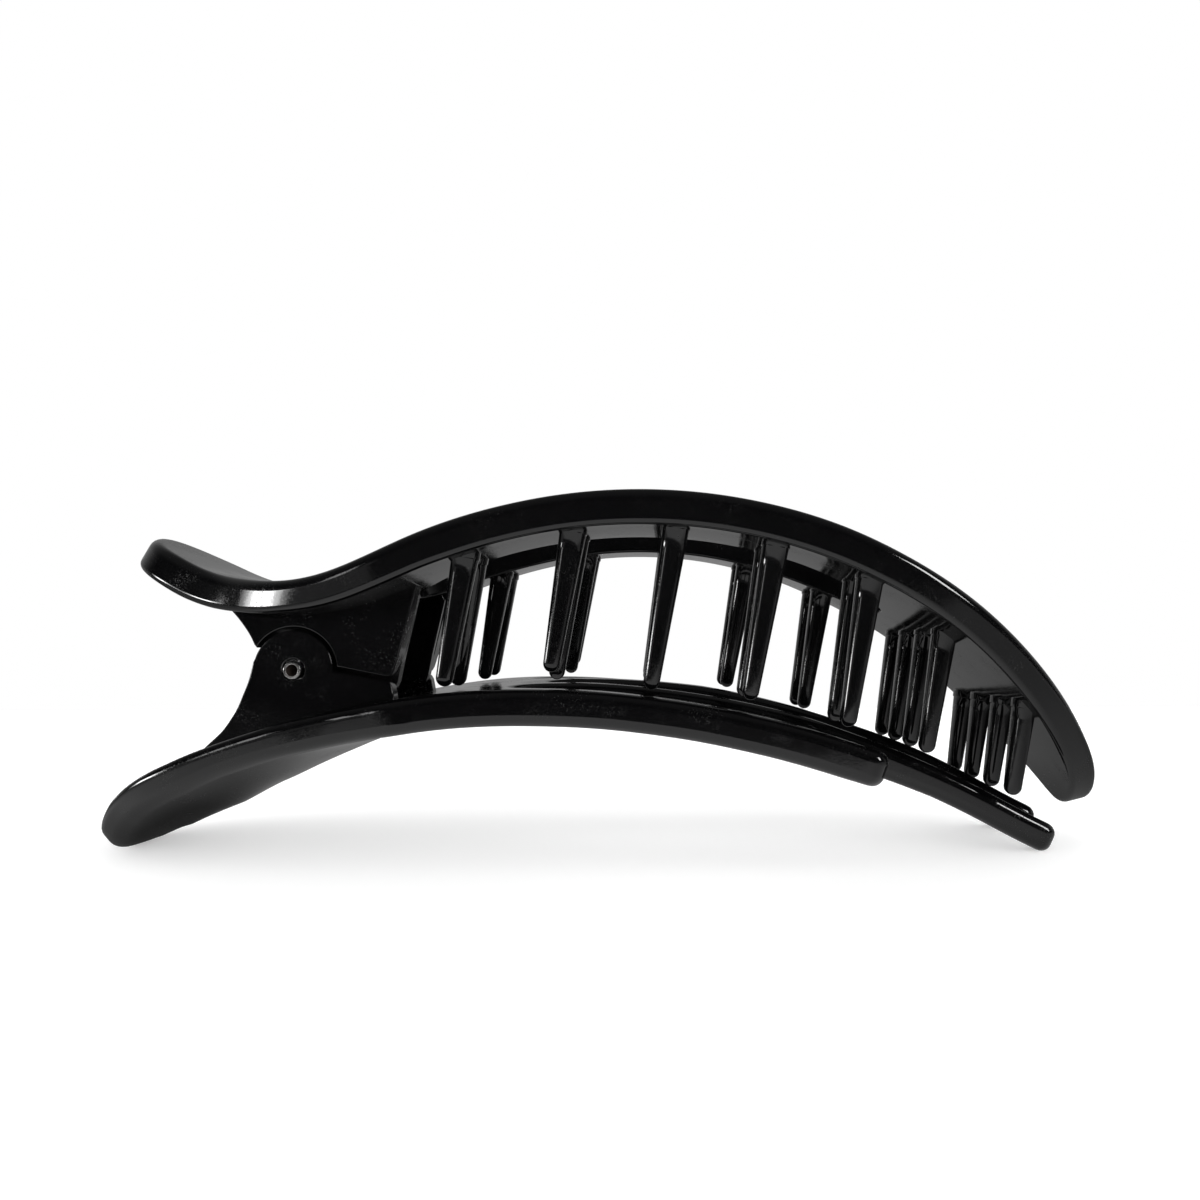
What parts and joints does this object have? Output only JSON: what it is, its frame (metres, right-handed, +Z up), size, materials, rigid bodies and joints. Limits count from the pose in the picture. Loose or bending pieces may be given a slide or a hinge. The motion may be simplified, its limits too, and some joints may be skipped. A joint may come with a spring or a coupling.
{
  "type": "flat hair clip",
  "caption": "Long flat hair clip: an arched open frame with comb teeth over a slotted lower jaw, on a sprung hinge with finger tabs.",
  "frame": {"origin": "middle of the clip's footprint, on the surface it lies on", "axes": "+X towards the toothed tip, -X towards the finger tabs, +Z up through the arched upper frame, Y along the hinge pin"},
  "size_m": [0.1402, 0.0516, 0.0476],
  "materials": {
    "black_plastic": "polished black injection moulding",
    "pin_steel": "drawn tube, slightly dull",
    "spring_steel": "bright drawn wire"
  },
  "bodies": {
    "lower": {"lower_jaw": "black_plastic", "hinge_pin": "pin_steel", "torsion_spring": "spring_steel"},
    "upper": {"upper_jaw": "black_plastic"}
  },
  "joints": [
    {"name": "jaw_hinge", "type": "hinge", "parent": "lower", "child": "upper", "pos_m": [-0.04104, 0, 0.02518], "axis": [0, -1, 0], "range_deg": [0, 35], "stiffness_Nm_per_rad": 0.15, "springref_deg": -8.59, "deforming": ["torsion_spring"]}
  ]
}
